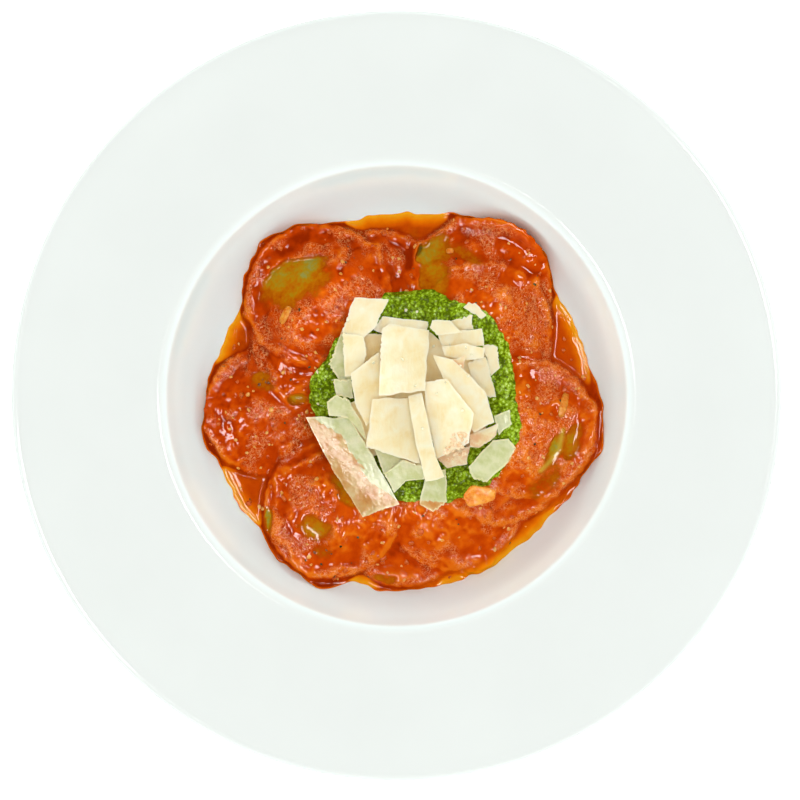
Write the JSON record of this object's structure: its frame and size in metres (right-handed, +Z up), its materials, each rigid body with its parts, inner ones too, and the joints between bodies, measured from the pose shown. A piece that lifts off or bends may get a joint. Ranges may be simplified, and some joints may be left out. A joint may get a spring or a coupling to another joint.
{
  "type": "plate of ravioli",
  "caption": "Green ravioli in tomato sauce with pesto and shaved hard cheese, served in a white wide-rimmed pasta plate.",
  "frame": {"origin": "centre of the foot ring on the surface the plate stands on", "axes": "+Z up, +Y towards the top of the dish as served and seen from above, +X to its right"},
  "size_m": [0.3, 0.3, 0.0506],
  "materials": {
    "porcelain": "glossy white glaze",
    "tomato_sauce": "wet, coarse tomato sauce with a little orange oil",
    "spinach_pasta": "smooth wet green pasta dough",
    "basil_pesto": "grainy oily green paste",
    "stewed_tomato": "soft glossy orange flesh",
    "hard_cheese": "thin, dry, slightly see-through shavings"
  },
  "bodies": {
    "root": {"plate": "porcelain", "sauce": "tomato_sauce", "raviolo_01": "spinach_pasta", "raviolo_02": "spinach_pasta", "raviolo_03": "spinach_pasta", "raviolo_04": "spinach_pasta", "raviolo_05": "spinach_pasta", "raviolo_06": "spinach_pasta", "raviolo_07": "spinach_pasta", "raviolo_08": "spinach_pasta", "raviolo_09": "spinach_pasta", "raviolo_10": "spinach_pasta", "raviolo_11": "spinach_pasta", "pesto": "basil_pesto", "tomato_piece": "stewed_tomato", "cheese_shaving_01": "hard_cheese", "cheese_shaving_02": "hard_cheese", "cheese_shaving_03": "hard_cheese", "cheese_shaving_04": "hard_cheese", "cheese_shaving_05": "hard_cheese", "cheese_shaving_06": "hard_cheese", "cheese_shaving_07": "hard_cheese", "cheese_shaving_08": "hard_cheese", "cheese_shaving_09": "hard_cheese", "cheese_shaving_10": "hard_cheese", "cheese_shaving_11": "hard_cheese", "cheese_shaving_12": "hard_cheese", "cheese_shaving_13": "hard_cheese", "cheese_shaving_14": "hard_cheese", "cheese_shaving_15": "hard_cheese", "cheese_shaving_16": "hard_cheese", "cheese_shaving_17": "hard_cheese", "cheese_shaving_18": "hard_cheese", "cheese_shaving_19": "hard_cheese", "cheese_shaving_20": "hard_cheese", "cheese_shaving_21": "hard_cheese", "cheese_shaving_22": "hard_cheese", "cheese_shaving_23": "hard_cheese", "cheese_shaving_24": "hard_cheese", "cheese_shaving_25": "hard_cheese", "cheese_shaving_26": "hard_cheese", "cheese_shaving_27": "hard_cheese", "cheese_shaving_28": "hard_cheese", "cheese_shaving_29": "hard_cheese", "cheese_shaving_30": "hard_cheese", "cheese_shaving_31": "hard_cheese", "cheese_shaving_32": "hard_cheese", "cheese_shaving_33": "hard_cheese", "cheese_shaving_34": "hard_cheese", "cheese_shaving_35": "hard_cheese"}
  },
  "joints": []
}
